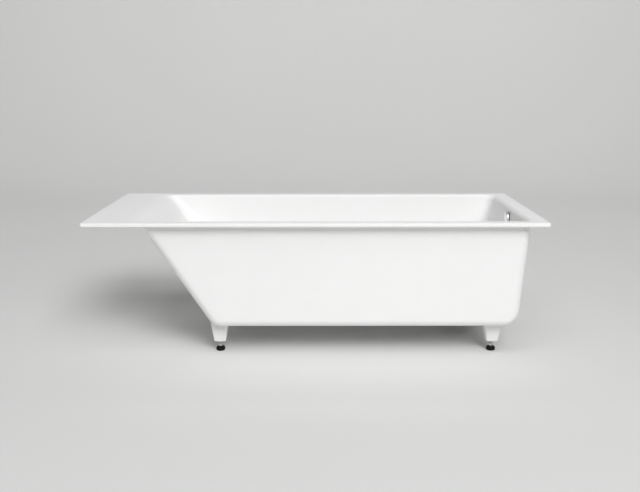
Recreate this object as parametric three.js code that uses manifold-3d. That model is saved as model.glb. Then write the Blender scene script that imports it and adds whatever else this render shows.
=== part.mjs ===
// Rectangular cast bathtub on four levelling feet, with its click waste, trap
// and overflow. Millimetres, +Z up. The origin is on the floor under the middle
// of the rim. The sloping backrest is at the -X end, the drain and the overflow
// are at the +X end, and -Y is the front.

import * as THREE from 'three';
import { mergeVertices } from 'three/addons/utils/BufferGeometryUtils.js';
import Module from 'manifold-3d';

const wasm = await Module();
wasm.setup();

// ---- driving dimensions ---------------------------------------------------

const GAP = 0.3;                      // clearance between pieces that touch

const LENGTH = 1700;
const WIDTH = 750;
const RIM_TOP = 530;
const RIM_THICKNESS = 14;
const RIM_CORNER = 6;                 // plan radius of the rim's corners
const RIM_EDGE = 2.5;                 // softening of the rim's long edges
const RIM_UNDER = RIM_TOP - RIM_THICKNESS;
const UNDERSIDE = 118;                // flat bottom of the cast body
const FLOOR = 139;                    // inside floor at the drain
const FLOOR_FALL = 6;                 // fall of the inside floor towards the drain

const BACK_SLOPE = 0.647;             // run per unit of height of the backrest
const END_DRAFT = 0.061;              // the same for the drain end
const SIDE_DRAFT = 0.061;             // the same for the front and back walls

const OUTER = {
  top: RIM_UNDER, bottom: UNDERSIDE,
  left: { at: 649.5, slope: BACK_SLOPE, topRadius: 16, bottomRadius: 60 },
  right: { at: 794.6, slope: END_DRAFT, topRadius: 5, bottomRadius: 66 },
  side: { at: 339, slope: SIDE_DRAFT, topRadius: 5, bottomRadius: 31 },
  leftCorner: 40, rightCorner: 36, leftGrowth: 0,
};
const INNER = {
  top: RIM_TOP, bottom: FLOOR,
  left: { at: 641, slope: BACK_SLOPE, topRadius: 120, bottomRadius: 115 },
  right: { at: 786.5, slope: END_DRAFT, topRadius: 22, bottomRadius: 60 },
  side: { at: 325, slope: SIDE_DRAFT, topRadius: 9, bottomRadius: 50 },
  leftCorner: 42, rightCorner: 38, leftGrowth: 20,
};
const ARC_STEPS = 5;                  // steps of a rounding in a wall's section
const CORNER_STEPS = 5;               // steps of a plan corner
const LEVEL_SPACING = 1.6;            // closest two levels of the loft
const CORNER_CLOSING = 0.8;           // how fast a corner tightens in the bottom rounding
const SMALLEST_CORNER = 6;
const CUT_PAST = 20;                  // how far a cutter runs past what it cuts

const LEG_X = [-372, 685];
const LEG_Y = 225;
const LEG_BOTTOM = 41;
const LEG_BOTTOM_SIZE = 45;
const LEG_TOP_SIZE = 66;              // where the leg meets the flat underside
const LEG_CORNER = 7;
const LEG_REACH = 150;                // the leg is cut back from here to the body

const STUD = { thread: 5, top: 63, collarTop: 27, collarBottom: 19, flats: 17 };
const INSERT = { radius: 6.7, top: 66 };
const STUD_BORE_TOP = 84;
const LOCK_NUT_HEIGHT = 8;
const PAD = {
  radius: 17.5, flat: 14.5, crown: 12.5,           // widest, sole and top
  heel: 2.4, waist: 7, shoulder: 11.5, top: 16.6,  // heights
};
const BUTTON = { radius: 6, bottom: 6.3, top: 12.7 };   // stud's end, snapped into the pad

const DRAIN_X = 590;
const DRAIN_RECESS = { radius: 38, depth: 4 };
const WASHER = 1.5;                   // thickness of the upper washer
const DRAIN_HOLE = 25;
const FLANGE = { radius: 35, thickness: 2.5, tail: 23, bore: 20, tailBottom: 104 };
const PLUG = { radius: 29, lift: 1.3, thickness: 5, skin: 1.5, hub: 7, crown: 16 };
const PLUG_SEAL = { inner: 22, outer: 26, height: 2 };
const FLANGE_EDGE = 1.5;              // softening of the flange's rim and mouth
const BOSS = { radius: 9, bottom: 110, top: 120 };       // holds the cartridge
const BAR = { half: 2, bottom: 112, top: 118 };          // carries the boss
const CARTRIDGE = { barrel: 5.2, head: 8, bottom: 104, floor: 4, seat: 120.3, top: 131 };
const STEM = { radius: 3, bottom: 114 };

const TRAP = {
  radius: 48, wall: 3, bottom: 58, top: UNDERSIDE - 3.3, plate: 4.7, collar: 28,
};
const LOWER_WASHER = 42;
const CUP = { radius: 51.5, bottom: 36, round: 9, rim: 65, ledge: 55, bore: 43, wall: 3 };
const DIP = { radius: 31, shoulder: 76, tube: 22, bottom: 46, top: TRAP.top - 7.7, wall: 2 };
const INLET = { z: 95, length: 78 };
const OUTLET = { z: 90, length: 78, pipe: 20, start: 60, end: 250 };
const SLIP_NUT = { radius: 22, outletRadius: 27, overlap: 14, lip: 6, face: 4 };

const PIPE = 15;                      // outer radius of the overflow pipe
const PIPE_WALL = 2;
const SOCKET_WALL = 3;
const PIPE_X = 817;                   // the overflow pipe's upright run
const BEND_RADIUS = 36;

const OVERFLOW_Z = 480;
const OVERFLOW_HOLE = 24;
const OVERFLOW = {
  neckX: 785, neck: 22, bore: 19, flangeX: 797.8, flange: 33, flangeThickness: 4,
  chamber: 28, wall: 3, edge: 5, backX: 829,
};
const LUG = { y: 14, inside: 9.5, half: 5 };      // takes a screw, inside the neck
const SCREW = { radius: 2.5, head: 4.2, headX: 777.2, coneX: 778.2, shankX: 780.2, endX: 799 };
const COVER = { radius: 28, frontX: 771.9, skirtX: 780.6, wall: 1.6, edge: 3, slot: 14 };
const RING = { inner: 9, outer: 26, frontX: 776.8, backX: 780.6 };   // fixed on the wall
const OUTER_WASHER = 33;
const ROUND = 20;                     // facets of a large round piece
const SMALL_ROUND = 12;               // facets of a small one

// ---- materials ------------------------------------------------------------

const FINISH = {
  caststone: { color: 0xf3f3f1, roughness: 0.5, metalness: 0 },
  chrome: { color: 0xd6d8da, roughness: 0.25, metalness: 1 },
  steel: { color: 0xa9acad, roughness: 0.35, metalness: 1 },
  brass: { color: 0xc09a4e, roughness: 0.35, metalness: 1 },
  rubber: { color: 0x1b1b1c, roughness: 0.85, metalness: 0 },
  nylon: { color: 0x111112, roughness: 0.55, metalness: 0 },
  polypropylene: { color: 0xe6e6e2, roughness: 0.45, metalness: 0 },
};

// ---- solids ---------------------------------------------------------------

const part = new THREE.Group();

// A closed solid from a geometry: only positions, shared corners, no flat faces.
function solid(geometry) {
  const bare = geometry.clone();
  bare.deleteAttribute('normal');
  bare.deleteAttribute('uv');
  const merged = mergeVertices(bare, 1e-3);
  const triangles = [];
  for (let i = 0; i < merged.index.count; i += 3) {
    const corner = [0, 1, 2].map((k) => merged.index.getX(i + k));
    if (new Set(corner).size === 3) triangles.push(...corner);
  }
  return new wasm.Manifold(new wasm.Mesh({
    numProp: 3,
    vertProperties: new Float32Array(merged.attributes.position.array),
    triVerts: new Uint32Array(triangles),
  }));
}

function toGeometry(body) {
  const mesh = body.getMesh();
  const geometry = new THREE.BufferGeometry();
  geometry.setAttribute('position', new THREE.BufferAttribute(mesh.vertProperties, 3));
  geometry.setIndex(new THREE.BufferAttribute(mesh.triVerts, 1));
  return geometry;
}

function add(name, body, finish) {
  const geometry = toGeometry(body);
  geometry.computeVertexNormals();
  const mesh = new THREE.Mesh(geometry, new THREE.MeshStandardMaterial(FINISH[finish]));
  mesh.name = name;
  part.add(mesh);
}

// A solid turned about the Z axis through (x, y); the section is a closed list
// of [radius, height], walked anticlockwise with the radius to the right.
function turned(section, x = 0, y = 0, facets = SMALL_ROUND) {
  const points = section.map(([radius, height]) => new THREE.Vector2(radius, height));
  points.push(points[0].clone());
  const geometry = new THREE.LatheGeometry(points, facets);
  geometry.rotateX(Math.PI / 2);
  geometry.translate(x, y, 0);
  return solid(geometry);
}

function ringSection(inner, outer, bottom, top) {
  return [[inner, bottom], [outer, bottom], [outer, top], [inner, top]];
}

function upright(radius, bottom, top, x, y, facets = SMALL_ROUND) {
  return turned(ringSection(0, radius, bottom, top), x, y, facets);
}

// A solid turned about a level axis: heights of the section run along +X from
// the point (x, y, z), or along +Y when turn is a quarter turn.
function level(section, x, y, z, turn = 0, facets = SMALL_ROUND) {
  const points = section.map(([radius, along]) => new THREE.Vector2(radius, along));
  points.push(points[0].clone());
  const geometry = new THREE.LatheGeometry(points, facets);
  geometry.rotateZ(-Math.PI / 2);
  geometry.rotateX(Math.PI / facets);
  geometry.rotateZ(turn);
  geometry.translate(x, y, z);
  return solid(geometry);
}

function block(x0, x1, y0, y1, z0, z1) {
  const geometry = new THREE.BoxGeometry(x1 - x0, y1 - y0, z1 - z0);
  geometry.translate((x0 + x1) / 2, (y0 + y1) / 2, (z0 + z1) / 2);
  return solid(geometry);
}

// A hexagonal prism with its flats facing front and back.
function hexagon(flats, bottom, top, x, y) {
  const radius = flats / Math.sqrt(3);
  const geometry = new THREE.CylinderGeometry(radius, radius, top - bottom, 6);
  geometry.rotateX(Math.PI / 2);
  geometry.rotateZ(Math.PI / 6);
  geometry.translate(x, y, (top + bottom) / 2);
  return solid(geometry);
}

// ---- the cast shell -------------------------------------------------------

// One rounded corner of a path: the arc's points from tangent to tangent.
function roundedCorner(before, corner, after, radius) {
  const toBefore = before.clone().sub(corner).normalize();
  const toAfter = after.clone().sub(corner).normalize();
  const half = Math.acos(toBefore.dot(toAfter)) / 2;
  const bisector = toBefore.clone().add(toAfter).normalize();
  const centre = corner.clone().addScaledVector(bisector, radius / Math.sin(half));
  const start = corner.clone().addScaledVector(toBefore, radius / Math.tan(half)).sub(centre);
  const sweep = Math.PI - 2 * half;
  const sense = Math.sign(toBefore.cross(toAfter));
  const points = [];
  for (let i = 0; i <= ARC_STEPS; i++) {
    const turn = (sense * sweep * i) / ARC_STEPS;
    points.push(start.clone().rotateAround(new THREE.Vector2(), -turn).add(centre));
  }
  return points;
}

// A wall's section, from the rounding under or at the rim down to the rounding
// into the bottom: x is the distance out from the middle, y the height.
function wallSection(wall, top, bottom) {
  const foot = wall.at - wall.slope * (top - bottom);
  const corners = [
    new THREE.Vector2(wall.at + LENGTH, top),
    new THREE.Vector2(wall.at, top),
    new THREE.Vector2(foot, bottom),
    new THREE.Vector2(foot - LENGTH, bottom),
  ];
  return [
    ...roundedCorner(corners[0], corners[1], corners[2], wall.topRadius),
    ...roundedCorner(corners[1], corners[2], corners[3], wall.bottomRadius),
  ];
}

function distanceAt(section, height) {
  for (let i = 1; i < section.length; i++) {
    const [above, below] = [section[i - 1], section[i]];
    if (height >= below.y) {
      const share = (above.y - height) / (above.y - below.y);
      return THREE.MathUtils.lerp(above.x, below.x, Math.max(share, 0));
    }
  }
  return section[section.length - 1].x;
}

// A rounded rectangle in plan, anticlockwise from above.
function outline(left, right, side, leftCorner, rightCorner) {
  const corners = [
    [right - rightCorner, side - rightCorner, rightCorner, 0],
    [-left + leftCorner, side - leftCorner, leftCorner, 1],
    [-left + leftCorner, -side + leftCorner, leftCorner, 2],
    [right - rightCorner, -side + rightCorner, rightCorner, 3],
  ];
  const points = [];
  for (const [x, y, radius, quarter] of corners) {
    for (let i = 0; i <= CORNER_STEPS; i++) {
      const angle = ((quarter + i / CORNER_STEPS) * Math.PI) / 2;
      points.push([x + radius * Math.cos(angle), y + radius * Math.sin(angle)]);
    }
  }
  return points;
}

// A closed solid through outlines of equal count, stacked from the bottom up.
function loft(levels) {
  const count = levels[0].length;
  const middle = (ring) => [0, 1, 2].map((k) => ring.reduce((sum, p) => sum + p[k], 0) / count);
  const last = levels.length - 1;
  const positions = [...levels.flat(), middle(levels[0]), middle(levels[last])];
  const bottom = positions.length - 2;
  const top = positions.length - 1;
  const index = [];
  for (let i = 0; i < count; i++) {
    const next = (i + 1) % count;
    index.push(bottom, next, i, top, last * count + i, last * count + next);
    for (let j = 0; j < last; j++) {
      const [a, b] = [j * count + i, j * count + next];
      index.push(a, b, b + count, a, b + count, a + count);
    }
  }
  const geometry = new THREE.BufferGeometry();
  geometry.setAttribute('position', new THREE.Float32BufferAttribute(positions.flat(), 3));
  geometry.setIndex(index);
  return solid(geometry);
}

function spacedLevels(heights) {
  const sorted = [...heights].sort((a, b) => a - b);
  const kept = [sorted[0]];
  for (const height of sorted) {
    if (height - kept[kept.length - 1] >= LEVEL_SPACING) kept.push(height);
  }
  kept[kept.length - 1] = sorted[sorted.length - 1];
  return kept;
}

// The body's outside or inside surface as a solid, carried on up to `upTo`.
function basin(form, upTo, fall) {
  const left = wallSection(form.left, form.top, form.bottom);
  const right = wallSection(form.right, form.top, form.bottom);
  const side = wallSection(form.side, form.top, form.bottom);
  const heights = spacedLevels([...left, ...right, ...side].map((point) => point.y));
  const levels = heights.map((height) => {
    const depth = (form.top - height) / (form.top - form.bottom);
    const reach = distanceAt(side, height);
    const drawnIn = form.side.at - form.side.slope * (form.top - height) - reach;
    const corner = (base) => Math.max(base - CORNER_CLOSING * drawnIn, SMALLEST_CORNER);
    const ring = outline(distanceAt(left, height), distanceAt(right, height), reach,
      corner(form.leftCorner + form.leftGrowth * depth), corner(form.rightCorner));
    return ring.map(([x, y]) => [x, y, height + floorRise(x, depth) * fall]);
  });
  levels.push(levels[levels.length - 1].map(([x, y]) => [x, y, upTo]));
  return loft(levels);
}

// How far the inside floor stands above its lowest place, fading out up the wall.
function floorRise(x, depth) {
  const fade = Math.max(0, (depth - 0.6) / 0.4);
  return ((DRAIN_X - x) / (DRAIN_X - LEG_X[0])) * fade;
}

function rimSlab() {
  const edges = [[RIM_UNDER, RIM_EDGE], [RIM_UNDER + RIM_EDGE, 0], [RIM_TOP - RIM_EDGE, 0],
    [RIM_TOP, RIM_EDGE]];
  return loft(edges.map(([height, inset]) => {
    const ring = outline(LENGTH / 2 - inset, LENGTH / 2 - inset, WIDTH / 2 - inset,
      RIM_CORNER - inset, RIM_CORNER - inset);
    return ring.map(([x, y]) => [x, y, height]);
  }));
}

function shell(body) {
  const { radius, depth } = DRAIN_RECESS;
  return rimSlab().add(body)
    .subtract(basin(INNER, RIM_TOP + CUT_PAST, FLOOR_FALL))
    .subtract(upright(radius, FLOOR - depth, FLOOR + CUT_PAST, DRAIN_X, 0, ROUND))
    .subtract(upright(DRAIN_HOLE, UNDERSIDE - CUT_PAST, FLOOR + CUT_PAST, DRAIN_X, 0, ROUND))
    .subtract(level(ringSection(0, OVERFLOW_HOLE, OVERFLOW.neckX - CUT_PAST,
      OVERFLOW.flangeX + CUT_PAST), 0, 0, OVERFLOW_Z, 0, ROUND));
}

// ---- legs and levelling feet ----------------------------------------------

function legBlock(x, y) {
  const spread = (LEG_TOP_SIZE - LEG_BOTTOM_SIZE) / 2 / (UNDERSIDE - LEG_BOTTOM);
  const square = (height) => {
    const half = LEG_BOTTOM_SIZE / 2 + spread * (height - LEG_BOTTOM);
    return outline(half, half, half, LEG_CORNER, LEG_CORNER).map(([u, v]) => [x + u, y + v, height]);
  };
  return loft([square(LEG_BOTTOM), square(LEG_REACH)]);
}

function leg(x, y, body) {
  return legBlock(x, y)
    .subtract(body.translate([0, 0, -GAP]))
    .subtract(upright(INSERT.radius + GAP, LEG_BOTTOM - 1, INSERT.top + GAP, x, y))
    .subtract(upright(STUD.thread + 2 * GAP, LEG_BOTTOM - 1, STUD_BORE_TOP, x, y));
}

function studWithCollar(x, y) {
  const { thread, top, collarTop, collarBottom, flats } = STUD;
  const shaft = turned([[0, BUTTON.bottom], [BUTTON.radius, BUTTON.bottom],
    [BUTTON.radius, BUTTON.top], [thread - GAP, BUTTON.top], [thread - GAP, collarBottom + 1],
    [thread, collarBottom + 1], [thread, top - 1], [thread - 1, top], [0, top]], x, y);
  return shaft.add(hexagon(flats, collarBottom, collarTop, x, y));
}

function padDisc(x, y) {
  const { radius, flat, crown, heel, waist, shoulder, top } = PAD;
  const neck = STUD.thread + GAP;
  const socket = BUTTON.radius + GAP;
  const rounding = 1;
  return turned([[0, 0], [flat, 0], [radius - rounding, heel], [radius, waist],
    [radius - rounding, shoulder], [crown, top], [neck, top], [neck, BUTTON.top + GAP],
    [socket, BUTTON.top + GAP], [socket, BUTTON.bottom - GAP], [0, BUTTON.bottom - GAP]],
  x, y, ROUND);
}

function addFoot(corner, x, y, body) {
  const nutTop = LEG_BOTTOM - GAP;
  const clear = STUD.thread + GAP;
  const nut = hexagon(STUD.flats, nutTop - LOCK_NUT_HEIGHT, nutTop, x, y)
    .subtract(upright(clear, nutTop - CUT_PAST, nutTop + CUT_PAST, x, y));
  add(`leg_${corner}`, leg(x, y, body), 'caststone');
  add(`thread_insert_${corner}`,
    turned(ringSection(clear, INSERT.radius, LEG_BOTTOM, INSERT.top), x, y), 'brass');
  add(`lock_nut_${corner}`, nut, 'steel');
  add(`levelling_stud_${corner}`, studWithCollar(x, y), 'steel');
  add(`floor_pad_${corner}`, padDisc(x, y), 'nylon');
}

// ---- drain: flange, click plug and trap -----------------------------------

const RECESS_FLOOR = FLOOR - DRAIN_RECESS.depth;
const UPPER_GASKET_TOP = RECESS_FLOOR + GAP + WASHER;
const FLANGE_BOTTOM = UPPER_GASKET_TOP + GAP;
const FLANGE_TOP = FLANGE_BOTTOM + FLANGE.thickness;
const SEAL_BOTTOM = FLANGE_TOP + GAP;
const PLUG_UNDER = FLANGE_TOP + PLUG.lift;
const PLUG_TOP = PLUG_UNDER + PLUG.thickness;

function wasteFlange() {
  const { radius, tail, bore, tailBottom } = FLANGE;
  const { half, bottom, top } = BAR;
  const reach = bore + 1;
  const bars = block(DRAIN_X - reach, DRAIN_X + reach, -half, half, bottom, top)
    .add(block(DRAIN_X - half, DRAIN_X + half, -reach, reach, bottom, top))
    .add(upright(BOSS.radius, BOSS.bottom, BOSS.top, DRAIN_X, 0));
  const drilled = bars.subtract(upright(CARTRIDGE.barrel + GAP, BOSS.bottom - 1, BOSS.top + 1,
    DRAIN_X, 0));
  const cup = turned([[bore, tailBottom], [tail, tailBottom], [tail, FLANGE_BOTTOM],
    [radius, FLANGE_BOTTOM], [radius, FLANGE_TOP - FLANGE_EDGE],
    [radius - FLANGE_EDGE, FLANGE_TOP], [bore + FLANGE_EDGE, FLANGE_TOP],
    [bore, FLANGE_TOP - FLANGE_EDGE]], DRAIN_X, 0, ROUND);
  return cup.add(drilled);
}

function cartridge() {
  const { barrel, head, bottom, floor, seat, top } = CARTRIDGE;
  const bore = STEM.radius + GAP;
  return turned([[0, bottom], [barrel, bottom], [barrel, seat], [head, seat], [head, top - 1],
    [head - 1, top], [bore, top], [bore, bottom + floor], [0, bottom + floor]], DRAIN_X, 0);
}

function plugCap() {
  const { inner, outer, height } = PLUG_SEAL;
  const hubBottom = CARTRIDGE.top + 3;
  const bore = STEM.radius + GAP;
  const groove = SEAL_BOTTOM + height + GAP;
  const ceiling = PLUG_UNDER - PLUG.skin;
  return turned([[bore, hubBottom], [PLUG.hub, hubBottom], [PLUG.hub, PLUG_UNDER],
    [inner - GAP, PLUG_UNDER], [inner - GAP, groove], [outer + GAP, groove],
    [outer + GAP, PLUG_UNDER], [PLUG.radius, PLUG_UNDER], [PLUG.radius, PLUG_TOP - 2],
    [PLUG.radius - 2, PLUG_TOP - 0.6], [PLUG.crown, PLUG_TOP], [0, PLUG_TOP], [0, ceiling],
    [bore, ceiling]], DRAIN_X, 0, ROUND);
}

function trapBody() {
  const { radius, wall, bottom, top, plate, collar } = TRAP;
  const chamber = turned([[radius - wall, bottom], [radius, bottom], [radius, top],
    [FLANGE.tail + GAP, top], [FLANGE.tail + GAP, FLANGE.tailBottom],
    [collar, FLANGE.tailBottom], [collar, top - plate], [radius - wall, top - plate]],
  DRAIN_X, 0, ROUND);
  const branch = (from, to, bore, outer, z, turn) => level(ringSection(bore, outer, from, to),
    DRAIN_X, 0, z, turn, ROUND);
  const inletBore = PIPE + GAP;
  const outletBore = OUTLET.pipe + GAP;
  const inletTube = branch(DIP.radius + 3, INLET.length, 0, inletBore + SOCKET_WALL, INLET.z, 0);
  const outletTube = branch(radius - 2, OUTLET.length, 0, outletBore + SOCKET_WALL, OUTLET.z,
    Math.PI / 2);
  const passage = branch(DIP.radius, INLET.length + 1, 0, inletBore, INLET.z, 0);
  const exit = branch(DIP.radius + 4, OUTLET.length + 1, 0, outletBore, OUTLET.z, Math.PI / 2);
  return chamber.add(inletTube).add(outletTube).subtract(passage).subtract(exit);
}

// The bowl that holds the water seal; it unscrews from the trap body.
function trapCup() {
  const { radius, bottom, round, rim, ledge, bore, wall } = CUP;
  const thread = TRAP.radius + GAP;
  return turned([[0, bottom], [radius - round, bottom], [radius, bottom + round], [radius, rim],
    [thread, rim], [thread, ledge], [bore, ledge], [bore, bottom + round],
    [bore - round + wall, bottom + wall], [0, bottom + wall]], DRAIN_X, 0, ROUND);
}

function dipTube() {
  const { radius, shoulder, tube, bottom, top, wall } = DIP;
  const form = turned([[tube - wall, bottom], [tube, bottom], [tube, shoulder - 6],
    [radius, shoulder], [radius, top], [TRAP.collar + GAP, top], [TRAP.collar + GAP, shoulder + 2],
    [tube - wall, shoulder - 4]], DRAIN_X, 0, ROUND);
  const hole = level(ringSection(0, PIPE - PIPE_WALL, tube, TRAP.radius), DRAIN_X, 0, INLET.z);
  return form.subtract(hole);
}

// A slip nut and its wedge ring on a branch that ends at `end` along its axis.
function slipNut(socketEnd, pipe, nutRadius) {
  const bore = pipe + GAP;
  const socket = bore + SOCKET_WALL;
  const back = socketEnd - SLIP_NUT.overlap;
  const lip = socketEnd + SLIP_NUT.lip;
  const face = lip + SLIP_NUT.face;
  return {
    nut: [[socket + GAP, back], [nutRadius, back], [nutRadius - 1, face], [bore, face],
      [bore, lip], [socket + GAP, lip]],
    ring: [[bore, socketEnd + GAP], [socket, socketEnd + GAP], [bore + 1.5, lip - GAP],
      [bore, lip - GAP]],
  };
}

function addDrain() {
  const { inner, outer, height } = PLUG_SEAL;
  const upperGasket = ringSection(DRAIN_HOLE + 1, FLANGE.radius, RECESS_FLOOR + GAP,
    UPPER_GASKET_TOP);
  const lowerGasket = ringSection(DRAIN_HOLE + 1, LOWER_WASHER, TRAP.top + GAP,
    UNDERSIDE - GAP);
  const dipSeal = ringSection(TRAP.collar + GAP, DIP.radius, DIP.top + GAP,
    TRAP.top - TRAP.plate - GAP);
  const cupSeal = ringSection(CUP.bore + 0.5, TRAP.radius - GAP, CUP.ledge + GAP,
    TRAP.bottom - GAP);
  const outlet = slipNut(OUTLET.length, OUTLET.pipe, SLIP_NUT.outletRadius);
  const pipeSection = ringSection(OUTLET.pipe - PIPE_WALL, OUTLET.pipe, OUTLET.start, OUTLET.end);
  const alongY = (section) => level(section, DRAIN_X, 0, OUTLET.z, Math.PI / 2, ROUND);
  add('waste_flange', wasteFlange(), 'chrome');
  add('waste_upper_gasket', turned(upperGasket, DRAIN_X, 0, ROUND), 'rubber');
  add('waste_lower_gasket', turned(lowerGasket, DRAIN_X, 0, ROUND), 'rubber');
  add('click_cartridge', cartridge(), 'brass');
  add('plug_stem', upright(STEM.radius, STEM.bottom, PLUG_UNDER - PLUG.skin - GAP, DRAIN_X, 0), 'steel');
  add('plug_cap', plugCap(), 'chrome');
  add('plug_seal', turned(ringSection(inner, outer, SEAL_BOTTOM, SEAL_BOTTOM + height), DRAIN_X, 0,
    ROUND), 'rubber');
  add('trap_body', trapBody(), 'polypropylene');
  add('trap_cup', trapCup(), 'polypropylene');
  add('trap_cup_seal', turned(cupSeal, DRAIN_X, 0, ROUND), 'rubber');
  add('trap_dip_tube', dipTube(), 'polypropylene');
  add('dip_tube_seal', turned(dipSeal, DRAIN_X, 0, ROUND), 'rubber');
  add('outlet_nut', alongY(outlet.nut), 'polypropylene');
  add('outlet_wedge_ring', alongY(outlet.ring), 'rubber');
  add('outlet_pipe', alongY(pipeSection), 'polypropylene');
}

// ---- overflow -------------------------------------------------------------

const LOWER_ELBOW_X = PIPE_X - BEND_RADIUS;        // the bend's level end
const LOWER_ELBOW_Z = INLET.z + BEND_RADIUS;       // the bend's upright end
const UPPER_SOCKET_END = 423;
const ELBOW_SOCKET = 22;                           // how far each socket runs past the bend
const PIPE_OVERLAP = 26;                           // how far a pipe enters the trap's inlet

function overflowBody() {
  const { neckX, neck, bore, flangeX, flange, flangeThickness } = OVERFLOW;
  const { chamber, wall, edge, backX } = OVERFLOW;
  const along = (section) => level(section, 0, 0, OVERFLOW_Z, 0, ROUND);
  const socketBore = PIPE + GAP;
  const drop = (radius, bottom) => upright(radius, bottom, OVERFLOW_Z, PIPE_X, 0, ROUND);
  const form = along([[0, neckX], [neck, neckX], [neck, flangeX], [flange, flangeX],
    [flange, flangeX + flangeThickness], [chamber, flangeX + flangeThickness],
    [chamber, backX - edge], [chamber - edge, backX], [0, backX]])
    .add(drop(socketBore + SOCKET_WALL, UPPER_SOCKET_END));
  const hollow = along([[0, neckX - 1], [bore, neckX - 1], [bore, flangeX + wall],
    [chamber - wall, flangeX + 2 * wall], [chamber - wall, backX - 2 * wall],
    [chamber - wall - edge, backX - wall], [0, backX - wall]]);
  let body = form.subtract(hollow).subtract(drop(socketBore, UPPER_SOCKET_END - 1));
  const inside = along(ringSection(0, neck - 1, neckX + 1, flangeX));
  for (const side of [-1, 1]) {
    const [from, to] = side > 0 ? [LUG.inside, neck] : [-neck, -LUG.inside];
    const lug = block(neckX + 1, flangeX, from, to, OVERFLOW_Z - LUG.half, OVERFLOW_Z + LUG.half);
    const hole = level(ringSection(0, SCREW.radius + GAP, neckX - CUT_PAST, flangeX + CUT_PAST),
      0, side * LUG.y, OVERFLOW_Z);
    body = body.add(lug.intersect(inside)).subtract(hole);
  }
  return body;
}

function overflowScrew(side) {
  const { radius, head, headX, coneX, shankX, endX } = SCREW;
  const section = [[0, headX], [head, headX], [head, coneX], [radius, shankX],
    [radius, endX - 1], [radius - 1, endX], [0, endX]];
  return level(section, 0, side * LUG.y, OVERFLOW_Z);
}

function overflowRing() {
  const { inner, outer, frontX, backX } = RING;
  const { radius, head, coneX, shankX } = SCREW;
  const seat = [[0, frontX - 1], [head + GAP, frontX - 1], [head + GAP, coneX + GAP],
    [radius + GAP, shankX + GAP], [radius + GAP, backX + 1], [0, backX + 1]];
  return level(ringSection(inner, outer, frontX, backX), 0, 0, OVERFLOW_Z, 0, ROUND)
    .subtract(level(seat, 0, -LUG.y, OVERFLOW_Z))
    .subtract(level(seat, 0, LUG.y, OVERFLOW_Z));
}

function overflowCover() {
  const { radius, frontX, skirtX, wall, edge, slot } = COVER;
  const cap = level([[0, frontX], [radius - edge, frontX], [radius, frontX + edge],
    [radius, skirtX], [radius - wall, skirtX], [radius - wall, frontX + edge],
    [radius - edge, frontX + wall], [0, frontX + wall]], 0, 0, OVERFLOW_Z, 0, ROUND);
  const mouth = block(frontX + edge + 1, skirtX + 1, -slot, slot, OVERFLOW_Z - radius - 1,
    OVERFLOW_Z - radius + 2 * wall);
  return cap.subtract(mouth);
}

// The bend under the drain end: a run of the given radius along it, carried
// `reach` past each end of the bend itself.
function bentRun(radius, reach) {
  const at = (x, z) => new THREE.Vector3(x, 0, z);
  const path = new THREE.CurvePath();
  path.add(new THREE.LineCurve3(at(PIPE_X, LOWER_ELBOW_Z + reach), at(PIPE_X, LOWER_ELBOW_Z)));
  path.add(new THREE.QuadraticBezierCurve3(at(PIPE_X, LOWER_ELBOW_Z), at(PIPE_X, INLET.z),
    at(LOWER_ELBOW_X, INLET.z)));
  path.add(new THREE.LineCurve3(at(LOWER_ELBOW_X, INLET.z), at(LOWER_ELBOW_X - reach, INLET.z)));
  const circle = new THREE.Shape();
  circle.absarc(0, 0, radius, 0, 2 * Math.PI);
  return solid(new THREE.ExtrudeGeometry(circle, {
    steps: 12, curveSegments: 8, extrudePath: path, bevelEnabled: false,
  }));
}

function lowerElbow() {
  const socketBore = PIPE + GAP;
  const reach = ELBOW_SOCKET;
  return bentRun(socketBore + SOCKET_WALL, reach)
    .subtract(bentRun(PIPE - PIPE_WALL, reach + 1))
    .subtract(upright(socketBore, LOWER_ELBOW_Z + 2, LOWER_ELBOW_Z + reach + 1, PIPE_X, 0, ROUND))
    .subtract(level(ringSection(0, socketBore, LOWER_ELBOW_X - reach - 1, LOWER_ELBOW_X - 2),
      0, 0, INLET.z, 0, ROUND));
}

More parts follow.
